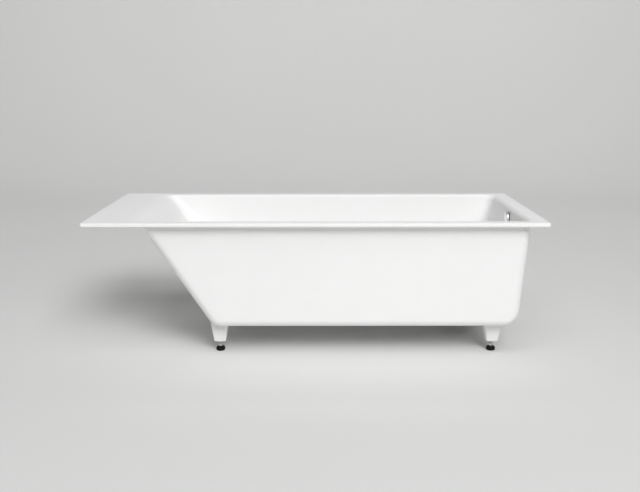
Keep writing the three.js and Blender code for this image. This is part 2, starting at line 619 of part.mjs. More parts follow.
function addOverflow(tub) {
  const bore = PIPE - PIPE_WALL;
  const middleX = (RING.backX + OVERFLOW.flangeX) / 2;
  const gasket = (inner, outer, from, to) => level(ringSection(inner, outer, from, to), 0, 0,
    OVERFLOW_Z, 0, ROUND);
  const outerGasket = gasket(OVERFLOW_HOLE + 1, OUTER_WASHER, middleX, OVERFLOW.flangeX - GAP)
    .subtract(tub.translate([GAP, 0, 0]));
  const innerGasket = gasket(OVERFLOW_HOLE + 0.5, RING.outer, RING.backX + GAP, middleX)
    .subtract(tub.translate([-GAP, 0, 0]));
  const elbowTop = LOWER_ELBOW_Z + ELBOW_SOCKET;
  const elbowEnd = LOWER_ELBOW_X - ELBOW_SOCKET;
  const upward = (section, z) => turned(section, PIPE_X, 0, ROUND).translate([0, 0, z]);
  const mirrored = (section) => section.map(([r, h]) => [r, -h]).reverse();
  const joint = slipNut(0, PIPE, SLIP_NUT.radius);
  const levelRun = (section, x) => level(section, x, 0, INLET.z, 0, ROUND);

  add('overflow_cover', overflowCover(), 'chrome');
  add('overflow_ring', overflowRing(), 'chrome');
  add('overflow_screw_front', overflowScrew(-1), 'steel');
  add('overflow_screw_back', overflowScrew(1), 'steel');
  add('overflow_inner_gasket', innerGasket, 'rubber');
  add('overflow_outer_gasket', outerGasket, 'rubber');
  add('overflow_body', overflowBody(), 'polypropylene');
  add('overflow_pipe', turned(ringSection(bore, PIPE, LOWER_ELBOW_Z + SLIP_NUT.lip,
    OVERFLOW_Z - OVERFLOW.chamber),
    PIPE_X, 0, ROUND), 'polypropylene');
  add('overflow_link_pipe', level(ringSection(bore, PIPE,
    DRAIN_X + INLET.length - PIPE_OVERLAP, LOWER_ELBOW_X - SLIP_NUT.lip), 0, 0,
    INLET.z, 0, ROUND), 'polypropylene');
  add('overflow_elbow', lowerElbow(), 'polypropylene');
  add('overflow_top_nut', upward(mirrored(joint.nut), UPPER_SOCKET_END), 'polypropylene');
  add('overflow_top_wedge_ring', upward(mirrored(joint.ring), UPPER_SOCKET_END), 'rubber');
  add('overflow_elbow_nut', upward(joint.nut, elbowTop), 'polypropylene');
  add('overflow_elbow_wedge_ring', upward(joint.ring, elbowTop), 'rubber');
  add('overflow_link_nut', levelRun(mirrored(joint.nut), elbowEnd), 'polypropylene');
  add('overflow_link_wedge_ring', levelRun(mirrored(joint.ring), elbowEnd), 'rubber');
  add('trap_inlet_nut', levelRun(joint.nut, DRAIN_X + INLET.length), 'polypropylene');
  add('trap_inlet_wedge_ring', levelRun(joint.ring, DRAIN_X + INLET.length), 'rubber');
}

// ---- assembly -------------------------------------------------------------

const castBody = basin(OUTER, RIM_UNDER + RIM_THICKNESS / 2, 0);
const tub = shell(castBody);
add('tub_shell', tub, 'caststone');
for (const [end, x] of [['left', LEG_X[0]], ['right', LEG_X[1]]]) {
  addFoot(`front_${end}`, x, -LEG_Y, castBody);
  addFoot(`back_${end}`, x, LEG_Y, castBody);
}
addDrain();
addOverflow(tub);

export default part;
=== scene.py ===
"""The looks of a rectangular cast bathtub on levelling feet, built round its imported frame.

Lengths are in millimetres and become metres where a mesh is made. The studio is in metres.
"""

import math

import bmesh
import bpy
from mathutils import Matrix, Vector


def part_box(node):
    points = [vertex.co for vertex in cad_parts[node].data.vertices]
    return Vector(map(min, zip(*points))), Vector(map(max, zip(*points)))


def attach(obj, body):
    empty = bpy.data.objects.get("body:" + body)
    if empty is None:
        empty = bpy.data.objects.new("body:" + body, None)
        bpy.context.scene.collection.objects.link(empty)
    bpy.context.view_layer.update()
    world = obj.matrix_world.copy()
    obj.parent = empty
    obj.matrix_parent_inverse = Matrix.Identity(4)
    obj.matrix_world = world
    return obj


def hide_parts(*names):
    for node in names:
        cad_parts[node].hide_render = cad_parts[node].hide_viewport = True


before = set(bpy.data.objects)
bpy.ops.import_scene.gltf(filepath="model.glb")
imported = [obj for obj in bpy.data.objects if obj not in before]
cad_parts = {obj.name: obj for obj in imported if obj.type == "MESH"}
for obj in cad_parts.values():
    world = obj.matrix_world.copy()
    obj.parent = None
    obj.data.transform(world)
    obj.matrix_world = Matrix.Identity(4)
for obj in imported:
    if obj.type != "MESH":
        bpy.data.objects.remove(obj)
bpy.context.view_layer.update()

MM = 0.001

# ---- places, read from the frame ----------------------------------------------


def box_mm(node):
    low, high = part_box(node)
    return low / MM, high / MM


def middle_mm(node):
    low, high = box_mm(node)
    return (low + high) / 2


RIM_LOW, RIM_HIGH = box_mm("tub_shell")
LENGTH = RIM_HIGH.x - RIM_LOW.x
WIDTH = RIM_HIGH.y - RIM_LOW.y
RIM_TOP = RIM_HIGH.z
UNDERSIDE = RIM_LOW.z
DRAIN_X = middle_mm("waste_flange").x
FLANGE_TOP = box_mm("waste_flange")[1].z
PIPE_X = middle_mm("overflow_pipe").x
OVERFLOW_Z = middle_mm("overflow_cover").z
INLET_Z = middle_mm("overflow_link_pipe").z
OUTLET_Z = middle_mm("outlet_pipe").z
DRAIN = (DRAIN_X, 0, 0)
OVERFLOW = (0, 0, OVERFLOW_Z)
CORNERS = ("front_left", "front_right", "back_left", "back_right")

# ---- driving dimensions (mm) --------------------------------------------------

RIM_THICKNESS = 14
RIM_CORNER = 6
RIM_EDGE = 2.5                    # rounding of the rim's upper and lower edge
RIM_EDGE_STEPS = 5
RIM_UNDER = RIM_TOP - RIM_THICKNESS
FLOOR_THICKNESS = 21
FLOOR = UNDERSIDE + FLOOR_THICKNESS
FLOOR_FALL = 6
FALL_START = -372                 # where the inside floor is highest
FALL_FADE = 0.6                   # share of the depth below which the floor falls

# each wall: distance from the middle, run per height, top and bottom radius
OUTER = {
    "top": RIM_UNDER, "bottom": UNDERSIDE, "corners": (40, 36), "growth": (0, 0),
    "left": (649.5, 0.647, 16, 60), "right": (794.6, 0.061, 5, 66), "side": (339, 0.061, 5, 31),
}
INNER = {
    "top": RIM_TOP, "bottom": FLOOR, "corners": (42, 38), "growth": (20, 0),
    "left": (641, 0.647, 120, 115), "right": (786.5, 0.061, 22, 60), "side": (325, 0.061, 9, 50),
}
CORNER_CLOSING = 0.8              # corner radius lost per mm that the side wall draws in
SMALLEST_CORNER = 6
CORNER_STEPS = 12
SIDE_STEPS = 14
ARC_STEPS = 12
LEAST_STEP = 0.04                 # height between two rings of a wall
SUPPORT = 2.0                     # distance of a loop that holds a flat face flat

RECESS_RADIUS = 38
RECESS_DEPTH = 4
DRAIN_HOLE = 25
OVERFLOW_HOLE = 24
END_WALL = (750, 820)             # along X, from well inside the drain end to well outside
CLEAR = 0.3                       # gap between a part and the next one round it

FINE_FACETS = 96
FACETS = 72
SMALL_FACETS = 40
ON_AXIS = 1e-6
SHARP = 38                        # degrees between faces that leave an edge sharp
CAST_SHARP = 32
HEXAGON_SHARP = 24

# ---- meshes -------------------------------------------------------------------


def object_from(name, vertices, faces):
    mesh = bpy.data.meshes.new(name)
    mesh.from_pydata([Vector(v) * MM for v in vertices], [], faces)
    edit = bmesh.new()
    edit.from_mesh(mesh)
    bmesh.ops.recalc_face_normals(edit, faces=edit.faces)
    edit.to_mesh(mesh)
    edit.free()
    obj = bpy.data.objects.new(name, mesh)
    bpy.context.scene.collection.objects.link(obj)
    return obj


def combine(obj, tool, operation):
    """Joins, cuts or intersects obj with tool, which is used up."""
    modifier = obj.modifiers.new(operation, "BOOLEAN")
    modifier.operation = operation
    modifier.object = tool
    modifier.solver = "EXACT"
    graph = bpy.context.evaluated_depsgraph_get()
    mesh = bpy.data.meshes.new_from_object(obj.evaluated_get(graph))
    obj.modifiers.clear()
    obj.data = mesh
    bpy.data.objects.remove(tool)


def join(obj, *tools):
    for tool in tools:
        combine(obj, tool, "UNION")


def cut(obj, *tools):
    for tool in tools:
        combine(obj, tool, "DIFFERENCE")


def softened(section, radius, steps=3):
    """A closed section with its corners off the axis rounded."""
    points = [Vector(p) for p in section]
    result = []
    for i, corner in enumerate(points):
        if corner.x < ON_AXIS:
            result.append(corner)
            continue
        before = points[i - 1] - corner
        after = points[(i + 1) % len(points)] - corner
        reach = min(radius, 0.4 * before.length, 0.4 * after.length)
        start = corner + before.normalized() * reach
        end = corner + after.normalized() * reach
        for j in range(steps + 1):
            u = j / steps
            result.append(start * (1 - u) ** 2 + corner * 2 * u * (1 - u) + end * u ** 2)
    return result


AXES = {
    "X": Matrix.Rotation(math.pi / 2, 3, "Y"),
    "Y": Matrix.Rotation(-math.pi / 2, 3, "X"),
    "Z": Matrix.Identity(3),
}


def turned(name, section, at=(0, 0, 0), axis="Z", facets=FACETS, soft=0.5, flutes=None):
    """A solid turned about an axis through `at`, from a closed list of (radius, height).

    flutes=(count, depth, from_radius) presses grooves along the outside.
    """
    ring_points = softened(section, soft) if soft else [Vector(p) for p in section]
    turn, place = AXES[axis], Vector(at)
    vertices, rings = [], []
    for radius, height in ring_points:
        first = len(vertices)
        if radius < ON_AXIS:
            vertices.append(turn @ Vector((0, 0, height)) + place)
            rings.append([first] * facets)
            continue
        for k in range(facets):
            angle = 2 * math.pi * k / facets
            reach = radius
            if flutes and radius > flutes[2]:
                reach -= flutes[1] * (0.5 + 0.5 * math.cos(flutes[0] * angle)) ** 3
            local = Vector((reach * math.cos(angle), reach * math.sin(angle), height))
            vertices.append(turn @ local + place)
        rings.append(list(range(first, first + facets)))
    faces = []
    for a, b in zip(rings, rings[1:] + rings[:1]):
        for k in range(facets):
            corners = [a[k], a[(k + 1) % facets], b[(k + 1) % facets], b[k]]
            face = list(dict.fromkeys(corners))
            if len(face) > 2:
                faces.append(face)
    return object_from(name, vertices, faces)


def ring(inner, outer, low, high):
    return [(inner, low), (outer, low), (outer, high), (inner, high)]


def rod(name, radius, low, high, at, axis="Z", facets=FACETS, soft=0):
    return turned(name, ring(0, radius, low, high), at, axis, facets, soft)


def block(name, low, high):
    vertices = [(x, y, z) for x in (low[0], high[0]) for y in (low[1], high[1])
                for z in (low[2], high[2])]
    faces = [(0, 1, 3, 2), (4, 6, 7, 5), (0, 4, 5, 1), (2, 3, 7, 6), (0, 2, 6, 4), (1, 5, 7, 3)]
    return object_from(name, vertices, faces)


def loft(name, rings):
    """A closed solid through rings of equal count, with a flat face at each end."""
    count = len(rings[0])
    vertices = [p for r in rings for p in r]
    faces = [list(range(count))[::-1]]
    for j in range(len(rings) - 1):
        for i in range(count):
            a, b = j * count + i, j * count + (i + 1) % count
            faces.append([a, b, b + count, a + count])
    faces.append(list(range((len(rings) - 1) * count, len(rings) * count)))
    return object_from(name, vertices, faces)


def hexagon(name, flats, low, high, at):
    """A hexagonal prism whose tips are chamfered at both ends."""
    radius = flats / math.sqrt(3)
    rings = []
    for height in (low, high):
        rings.append([(at[0] + radius * math.cos(k * math.pi / 3),
                       at[1] + radius * math.sin(k * math.pi / 3), height) for k in range(6)])
    prism = loft(name, rings)
    tip = radius - flats / 2
    past, drop = radius + 0.2, tip * 0.55
    chamfer = [(0, low - 1), (radius - tip, low - 0.01), (past, low + drop),
               (past, high - drop), (radius - tip, high + 0.01), (0, high + 1)]
    combine(prism, turned("chamfer", chamfer, (at[0], at[1], 0), soft=0), "INTERSECT")
    return prism


def threaded(name, radius, pitch, depth, low, high, at, facets=36, rows_per_turn=6):
    """An upright rod with a helical thread, fading out at both ends."""
    rows = max(2, round((high - low) / pitch * rows_per_turn))
    place = Vector(at)
    rings = []
    for j in range(rows + 1):
        height = low + (high - low) * j / rows
        fade = min(1, (height - low) / pitch, (high - height) / pitch)
        circle = []
        for k in range(facets):
            angle = 2 * math.pi * k / facets
            phase = (height / pitch - k / facets) % 1
            groove = depth * (1 - abs(2 * phase - 1)) * fade + 0.6 * depth * (1 - fade)
            reach = radius - groove
            circle.append(place + Vector((reach * math.cos(angle), reach * math.sin(angle),
                                          height)))
        rings.append(circle)
    return loft(name, rings)


def bent(name, section, path, facets=FACETS, soft=0.6):
    """A closed section of (radius, distance along) swept on a path in the plane y = 0."""
    points = softened(section, soft)
    dense = []
    for a, b in zip(points, points[1:] + points[:1]):
        steps = max(1, round(abs(b.y - a.y) / 4))
        dense += [a.lerp(b, s / steps) for s in range(steps)]
    vertices = []
    for radius, along in dense:
        centre, forward = path(along)
        side = Vector((0, 1, 0))
        up = forward.cross(side)
        for k in range(facets):
            angle = 2 * math.pi * k / facets
            vertices.append(centre + radius * (math.cos(angle) * side + math.sin(angle) * up))
    faces = []
    for j in range(len(dense)):
        a, b = j * facets, (j + 1) % len(dense) * facets
        for k in range(facets):
            n = (k + 1) % facets
            faces.append([a + k, a + n, b + n, b + k])
    return object_from(name, vertices, faces)


def finish(obj, material, slot, body, *nodes, sharp=SHARP):
    """Shades a piece, gives it its material, and puts it in the place of CAD nodes."""
    obj.data.materials.clear()
    obj.data.materials.append(material)
    obj.data.shade_smooth()
    obj.data.set_sharp_from_angle(angle=math.radians(sharp))
    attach(obj, body)
    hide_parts(*nodes)


# ---- materials ----------------------------------------------------------------


class Nodes:
    """A material's node tree, with short calls for the nodes that the finishes use."""

    def __init__(self, name):
        self.material = bpy.data.materials.new(name)
        self.material.use_nodes = True
        self.tree = self.material.node_tree
        self.shader = self.tree.nodes["Principled BSDF"]
        self.place = self.tree.nodes.new("ShaderNodeTexCoord").outputs["Object"]

    def set(self, **values):
        for socket, value in values.items():
            self.shader.inputs[socket.replace("_", " ")].default_value = value

    def stretched(self, scale):
        mapping = self.tree.nodes.new("ShaderNodeMapping")
        mapping.inputs["Scale"].default_value = scale
        self.tree.links.new(self.place, mapping.inputs["Vector"])
        return mapping.outputs["Vector"]

    def noise(self, scale, detail=4, roughness=0.5, vector=None):
        node = self.tree.nodes.new("ShaderNodeTexNoise")
        node.inputs["Scale"].default_value = scale
        node.inputs["Detail"].default_value = detail
        node.inputs["Roughness"].default_value = roughness
        self.tree.links.new(vector or self.place, node.inputs["Vector"])
        return node.outputs["Fac"]

    def between(self, factor, low, high, start=0.3, end=0.7):
        """Spreads the middle of a noise over a range of values."""
        node = self.tree.nodes.new("ShaderNodeMapRange")
        limits = {"From Min": start, "From Max": end, "To Min": low, "To Max": high}
        for socket, value in limits.items():
            node.inputs[socket].default_value = value
        self.tree.links.new(factor, node.inputs["Value"])
        return node.outputs["Result"]

    def ramp(self, factor, *stops):
        node = self.tree.nodes.new("ShaderNodeValToRGB")
        while len(node.color_ramp.elements) < len(stops):
            node.color_ramp.elements.new(0.5)
        for element, (position, colour) in zip(node.color_ramp.elements, stops):
            element.position = position
            element.color = (*colour, 1)
        self.tree.links.new(factor, node.inputs["Fac"])
        return node.outputs["Color"]

    def bump(self, height, distance, strength=0.3):
        node = self.tree.nodes.new("ShaderNodeBump")
        node.inputs["Distance"].default_value = distance
        node.inputs["Strength"].default_value = strength
        self.tree.links.new(height, node.inputs["Height"])
        self.link(node.outputs["Normal"], "Normal")

    def link(self, output, socket):
        self.tree.links.new(output, self.shader.inputs[socket])


def cast_stone():
    """White cast mineral resin: an even colour and a matt, very slightly uneven surface."""
    nodes = Nodes("cast_stone")
    cloud = nodes.noise(14, 3)
    nodes.link(nodes.ramp(cloud, (0.3, (0.922, 0.922, 0.918)), (0.7, (0.932, 0.932, 0.929))),
               "Base Color")
    nodes.link(nodes.between(nodes.noise(90, 4), 0.50, 0.58), "Roughness")
    nodes.set(IOR=1.5, Specular_IOR_Level=0.4)
    nodes.bump(nodes.noise(420, 3, 0.6), 0.00008, 0.06)
    return nodes.material


def chrome():
    """Satin chrome plate with a slight wiping haze."""
    nodes = Nodes("chrome")
    nodes.set(Metallic=1.0)
    nodes.link(nodes.ramp(nodes.noise(60, 2), (0.3, (0.84, 0.85, 0.86)), (0.7, (0.89, 0.90, 0.91))),
               "Base Color")
    nodes.link(nodes.between(nodes.noise(180, 5), 0.42, 0.50), "Roughness")
    nodes.bump(nodes.noise(700, 3), 0.00005, 0.10)
    return nodes.material


def zinc():
    """Bright zinc-plated steel, with a faint yellow and blue cast in patches."""
    nodes = Nodes("zinc_plated_steel")
    nodes.set(Metallic=1.0)
    patches = nodes.noise(240, 3)
    nodes.link(nodes.ramp(patches, (0.32, (0.52, 0.54, 0.57)), (0.5, (0.64, 0.65, 0.66)),
                          (0.7, (0.66, 0.64, 0.58))), "Base Color")
    nodes.link(nodes.between(nodes.noise(900, 5), 0.22, 0.42), "Roughness")
    nodes.bump(nodes.noise(2600, 4), 0.00004, 0.25)
    return nodes.material


def brass():
    """Turned brass with fine tool lines and darker spots."""
    nodes = Nodes("turned_brass")
    nodes.set(Metallic=1.0)
    grain = nodes.noise(320, 4)
    nodes.link(nodes.ramp(grain, (0.3, (0.55, 0.40, 0.17)), (0.7, (0.78, 0.60, 0.30))),
               "Base Color")
    nodes.link(nodes.between(nodes.noise(700, 4), 0.22, 0.42), "Roughness")
    nodes.bump(nodes.noise(900, 2, vector=nodes.stretched((1, 1, 12))), 0.00005, 0.4)
    return nodes.material


def rubber():
    """Matt black rubber with a dusty bloom."""
    nodes = Nodes("black_rubber")
    nodes.link(nodes.ramp(nodes.noise(300, 5), (0.35, (0.013, 0.013, 0.014)),
                          (0.75, (0.035, 0.035, 0.036))), "Base Color")
    nodes.link(nodes.between(nodes.noise(500, 4), 0.68, 0.9), "Roughness")
    nodes.bump(nodes.noise(3200, 4), 0.00008, 0.4)
    return nodes.material


def black_nylon():
    """Black moulded nylon with a fine spark-eroded grain."""
    nodes = Nodes("black_nylon")
    nodes.link(nodes.ramp(nodes.noise(260, 4), (0.35, (0.004, 0.004, 0.004)),
                          (0.75, (0.009, 0.009, 0.009))), "Base Color")
    nodes.link(nodes.between(nodes.noise(600, 4), 0.45, 0.62), "Roughness")
    nodes.set(Specular_IOR_Level=0.15)
    nodes.bump(nodes.noise(4200, 3), 0.00006, 0.5)
    return nodes.material


def white_plastic():
    """Moulded white polypropylene: slightly waxy, with flow marks and a fine grain."""
    nodes = Nodes("white_polypropylene")
    flow = nodes.noise(70, 3, vector=nodes.stretched((1, 1, 0.3)))
    nodes.link(nodes.ramp(flow, (0.3, (0.70, 0.70, 0.67)), (0.7, (0.77, 0.77, 0.745))),
               "Base Color")
    nodes.link(nodes.between(nodes.noise(420, 4), 0.34, 0.50), "Roughness")
    nodes.bump(nodes.noise(1800, 3), 0.00007, 0.3)
    return nodes.material


STONE = cast_stone()
CHROME = chrome()
ZINC = zinc()
BRASS = brass()
RUBBER = rubber()
NYLON = black_nylon()
PLASTIC = white_plastic()

# ---- the cast shell -----------------------------------------------------------


class Wall:
    """One wall's section: straight, with a rounding at the top and the bottom."""

    def __init__(self, form, side):
        self.at, self.slope, self.top_radius, self.bottom_radius = form[side]
        self.top, self.bottom = form["top"], form["bottom"]
        run = math.hypot(1, self.slope)
        self.turn = math.acos(self.slope / run)
        self.top_reach = self.top_radius * math.tan(self.turn / 2)
        self.bottom_reach = self.bottom_radius * math.tan(self.turn / 2)
        self.top_end = self.top - self.top_reach / run
        self.bottom_end = self.bottom + self.bottom_reach / run

    def straight(self, height):
        return self.at - self.slope * (self.top - height)

    def distance(self, height):
        if height > self.top_end:
            drop = self.top_radius - (self.top - height)
            arc = math.sqrt(max(self.top_radius ** 2 - drop ** 2, 0))
            return self.at + self.top_reach - arc
        if height < self.bottom_end:
            rise = self.bottom_radius - (height - self.bottom)
            arc = math.sqrt(max(self.bottom_radius ** 2 - rise ** 2, 0))
            return self.straight(self.bottom) - self.bottom_reach + arc
        return self.straight(height)

    def levels(self):
        for i in range(ARC_STEPS + 1):
            bow = 1 - math.cos(self.turn * i / ARC_STEPS)
            yield self.top - self.top_radius * bow
            yield self.bottom + self.bottom_radius * bow
        yield self.top_end - SUPPORT
        yield self.bottom_end + SUPPORT


def outline(left, right, side, left_corner, right_corner, height):
    """A rounded rectangle in plan, anticlockwise, with loops that hold its straights."""
    corners = [
        (right - right_corner, side - right_corner, right_corner, 0),
        (-left + left_corner, side - left_corner, left_corner, 1),
        (-left + left_corner, -side + left_corner, left_corner, 2),
        (right - right_corner, -side + right_corner, right_corner, 3),
    ]
    arcs = []
    for x, y, radius, quarter in corners:
        arc = []
        for i in range(CORNER_STEPS + 1):
            angle = (quarter + i / CORNER_STEPS) * math.pi / 2
            arc.append(Vector((x + radius * math.cos(angle), y + radius * math.sin(angle), height)))
        arcs.append(arc)
    points = []
    for arc, following in zip(arcs, arcs[1:] + arcs[:1]):
        start, end = arc[-1], following[0]
        hold = (end - start).normalized() * SUPPORT
        points += arc + [start + hold]
        points += [start.lerp(end, s / SIDE_STEPS) for s in range(1, SIDE_STEPS)]
        points.append(end - hold)
    return points


def floor_rise(x, depth):
    """How far the inside floor stands above its place at the drain, fading out up the wall."""
    share = max(0.0, (depth - FALL_FADE) / (1 - FALL_FADE))
    fade = share * share * (3 - 2 * share)
    return FLOOR_FALL * fade * (DRAIN_X - x) / (DRAIN_X - FALL_START)


def plan_corners(form, side, height, depth):
    """The left and right corner radius at a height, smaller where the wall draws in."""
    drawn_in = side.straight(height) - side.distance(height)
    return [max(base + growth * depth - CORNER_CLOSING * drawn_in, SMALLEST_CORNER)
            for base, growth in zip(form["corners"], form["growth"])]


def basin_rings(form, falls=False):
    """The rings of one surface of the shell, from the bottom up."""
    left, right, side = (Wall(form, name) for name in ("left", "right", "side"))
    heights = sorted({h for wall in (left, right, side) for h in wall.levels()})
    kept = [heights[0]]
    for height in heights[1:]:
        if height - kept[-1] > LEAST_STEP:
            kept.append(height)
    kept[-1] = heights[-1]
    rings = []
    for height in kept:
        depth = (form["top"] - height) / (form["top"] - form["bottom"])
        shape = outline(left.distance(height), right.distance(height), side.distance(height),
                        *plan_corners(form, side, height, depth), height)
        if falls:
            for point in shape:
                point.z += floor_rise(point.x, depth)
        rings.append(shape)
    return rings


def grown(form, at_top, by):
    """The outline at the top or bottom of a surface, moved out by a little."""
    walls = [Wall(form, name) for name in ("left", "right", "side")]
    height, depth = (form["top"], 0) if at_top else (form["bottom"], 1)
    corners = [radius + by for radius in plan_corners(form, walls[2], height, depth)]
    return outline(*[wall.distance(height) + by for wall in walls], *corners, height)


def rim_rings():
    """The rim from its underside, round its edge, to its top."""
    rings = []
    arc = []
    for i in range(RIM_EDGE_STEPS + 1):
        angle = math.pi / 2 * i / RIM_EDGE_STEPS
        arc.append((RIM_EDGE * (1 - math.sin(angle)), RIM_EDGE * (1 - math.cos(angle))))
    insets = [(RIM_EDGE + SUPPORT, RIM_UNDER)]
    insets += [(inset, RIM_UNDER + rise) for inset, rise in arc]
    insets += [(inset, RIM_TOP - drop) for drop, inset in arc]
    insets.append((RIM_EDGE + SUPPORT, RIM_TOP))
    for inset, height in insets:
        corner = max(RIM_CORNER - inset, 1)
        rings.append(outline(LENGTH / 2 - inset, LENGTH / 2 - inset, WIDTH / 2 - inset,
                             corner, corner, height))
    return rings


def shell():
    outside = [grown(OUTER, False, -SUPPORT)] + basin_rings(OUTER) + [grown(OUTER, True, SUPPORT)]
    inside = basin_rings(INNER, falls=True)[::-1]
    floor_edge = grown(INNER, False, -SUPPORT)
    for point in floor_edge:
        point.z += floor_rise(point.x, 1)
    rings = outside + rim_rings() + [grown(INNER, True, SUPPORT)] + inside + [floor_edge]
    body = loft("bathtub_shell", rings)
    seat, above = FLOOR - RECESS_DEPTH, FLOOR + 30
    lip = RECESS_RADIUS + 2.5
    recess = turned("recess", [(0, seat), (RECESS_RADIUS, seat), (RECESS_RADIUS, FLOOR - 1.6),
                               (RECESS_RADIUS + 0.3, FLOOR - 0.7), (RECESS_RADIUS + 1, FLOOR - 0.1),
                               (lip, FLOOR + 0.3), (lip, above), (0, above)], DRAIN, soft=0)
    drain_hole = rod("drain_hole", DRAIN_HOLE, UNDERSIDE - 20, FLOOR, DRAIN)
    overflow_hole = rod("overflow_hole", OVERFLOW_HOLE, *END_WALL, OVERFLOW, "X")
    cut(body, recess, drain_hole, overflow_hole)
    finish(body, STONE, "cast_stone", "tub", "tub_shell", sharp=CAST_SHARP)


# ---- legs and feet ------------------------------------------------------------

LEG_BOTTOM = 41
LEG_BOTTOM_SIZE = 45
LEG_TOP_SIZE = 66
LEG_CORNER = 7
LEG_LEAST_CORNER = 2
LEG_EDGE = 2.0
LEG_EDGE_STEPS = 4
LEG_REACH = 150                   # into the body, which cuts the leg off
STUD_RADIUS = 5
STUD_TOP = 63
STUD_NECK = 4.7
PITCH = 1.5
THREAD_DEPTH = 0.75
THREAD_BORE = STUD_RADIUS + CLEAR
BUTTON_RADIUS = 6
BUTTON = (6.3, 12.7)
COLLAR = (19, 27)
FLATS = 17
INSERT_RADIUS = 6.7
INSERT_TOP = 66
INSERT_HOLE = INSERT_RADIUS + CLEAR
STUD_HOLE = 5.6
STUD_HOLE_TOP = 84
NUT_HEIGHT = 8
NUT_CHAMFER = 1.1
PAD_RADIUS = 17.5
PAD_TOP = 16.6
PAD_FLOOR = 6


def leg(corner, at):
    """A tapered block with a rounded lower edge, cut off where it meets the body."""
    spread = (LEG_TOP_SIZE - LEG_BOTTOM_SIZE) / 2 / (UNDERSIDE - LEG_BOTTOM)
    levels = [(LEG_BOTTOM, LEG_EDGE + SUPPORT)]
    for i in range(LEG_EDGE_STEPS + 1):
        angle = math.pi / 2 * i / LEG_EDGE_STEPS
        rise, inset = 1 - math.cos(angle), 1 - math.sin(angle)
        levels.append((LEG_BOTTOM + LEG_EDGE * rise, LEG_EDGE * inset))
    levels += [(LEG_BOTTOM + LEG_EDGE + SUPPORT, 0), (LEG_REACH, 0)]
    rings = []
    for height, inset in levels:
        half = LEG_BOTTOM_SIZE / 2 + spread * (height - LEG_BOTTOM) - inset
        radius = max(LEG_CORNER - inset, LEG_LEAST_CORNER)
        shape = outline(half, half, half, radius, radius, height)
        rings.append([Vector((p.x + at.x, p.y + at.y, p.z)) for p in shape])
    body = loft("leg_" + corner + "_casting", rings)
    above = basin_rings(OUTER)
    cut(body, loft("body_above", above + [[Vector((p.x, p.y, RIM_TOP)) for p in above[-1]]]))
    below, step = LEG_BOTTOM - 11, INSERT_TOP + CLEAR
    bore = [(0, below), (INSERT_HOLE, below), (INSERT_HOLE, step), (STUD_HOLE, step),
            (STUD_HOLE, STUD_HOLE_TOP), (0, STUD_HOLE_TOP)]
    cut(body, turned("bore", bore, (at.x, at.y, 0), facets=SMALL_FACETS, soft=0))
    finish(body, STONE, "cast_stone", "tub", "leg_" + corner, sharp=CAST_SHARP)


def insert(corner, at):
    tube = ring(THREAD_BORE, INSERT_RADIUS, LEG_BOTTOM, INSERT_TOP)
    body = turned("insert_" + corner, tube, (at.x, at.y, 0), facets=FINE_FACETS, soft=0.4,
                  flutes=(32, 0.35, 6))
    finish(body, BRASS, "brass", "tub", "thread_insert_" + corner)


def lock_nut(corner, at):
    top = LEG_BOTTOM - CLEAR
    low, mouth = top - NUT_HEIGHT, THREAD_BORE + NUT_CHAMFER
    body = hexagon("nut_" + corner, FLATS, low, top, at)
    bore = [(0, low - 4), (mouth, low - 4), (mouth, low), (THREAD_BORE, low + NUT_CHAMFER),
            (THREAD_BORE, top - NUT_CHAMFER), (mouth, top), (mouth, top + 4), (0, top + 4)]
    cut(body, turned("bore", bore, (at.x, at.y, 0), facets=SMALL_FACETS, soft=0))
    finish(body, ZINC, "steel", "tub", "lock_nut_" + corner, sharp=HEXAGON_SHARP)


def stud(corner, at):
    """A threaded stud with its hexagonal collar and the button that the pad holds."""
    body = threaded("stud_" + corner, STUD_RADIUS, PITCH, THREAD_DEPTH, COLLAR[1] - 1, STUD_TOP,
                    (at.x, at.y, 0))
    collar = hexagon("collar", FLATS, *COLLAR, at)
    low, high = BUTTON
    inside = COLLAR[0] + 1
    section = [(0, low), (BUTTON_RADIUS, low), (BUTTON_RADIUS, high), (STUD_NECK, high),
               (STUD_NECK, inside), (0, inside)]
    join(body, collar, turned("button", section, (at.x, at.y, 0), facets=SMALL_FACETS))
    finish(body, ZINC, "steel", "stud_" + corner, "levelling_stud_" + corner, sharp=HEXAGON_SHARP)


def pad(corner, at):
    """A crowned round pad with a groove in its top and a socket for the stud's button."""
    groove, mouth, socket, ceiling = PAD_TOP - 1, 5.3, BUTTON_RADIUS + CLEAR, BUTTON[1] + CLEAR
    section = [(0, 0), (14.5, 0), (15.6, 0.9), (16.9, 2.4), (17.35, 4.6), (PAD_RADIUS, 7),
               (17.2, 9.4), (16.3, 11.7), (14.8, 13.6), (13.2, 14.9), (12.5, PAD_TOP),
               (11.2, PAD_TOP), (10.4, groove), (7.4, groove), (6.8, PAD_TOP), (mouth, PAD_TOP),
               (mouth, ceiling), (socket, ceiling), (socket, PAD_FLOOR), (0, PAD_FLOOR)]
    body = turned("pad_" + corner, section, (at.x, at.y, 0), soft=0.7)
    finish(body, NYLON, "black_nylon", "pad_" + corner, "floor_pad_" + corner)


def feet():
    for corner in CORNERS:
        at = middle_mm("floor_pad_" + corner)
        leg(corner, at)
        insert(corner, at)
        lock_nut(corner, at)
        stud(corner, at)
        pad(corner, at)


# ---- drain --------------------------------------------------------------------

